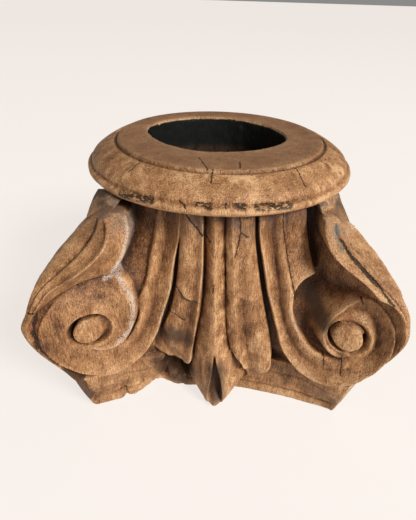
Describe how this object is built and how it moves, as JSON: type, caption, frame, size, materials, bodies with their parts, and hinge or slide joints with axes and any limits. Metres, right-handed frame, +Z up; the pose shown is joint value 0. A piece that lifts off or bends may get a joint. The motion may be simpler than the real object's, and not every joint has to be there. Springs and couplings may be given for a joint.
{
  "type": "carved column base",
  "caption": "Upturned ionic capital in carved wood, used as a column base: corner volutes and leaves, fluted bell, concave foot and a turned collar with an oval socket in its top.",
  "frame": {"origin": "centre of the footprint on the flat underside of the foot", "axes": "+Z up along the column's axis, -Y towards the face with the worn left volute, +X to that face's right"},
  "size_m": [0.3316, 0.3321, 0.2585],
  "materials": {
    "carved_wood": "old brown hardwood with a worn wax polish, dark dirt in the cuts, black paint inside the socket"
  },
  "bodies": {
    "root": {"carved_column_base": "carved_wood"}
  },
  "joints": []
}
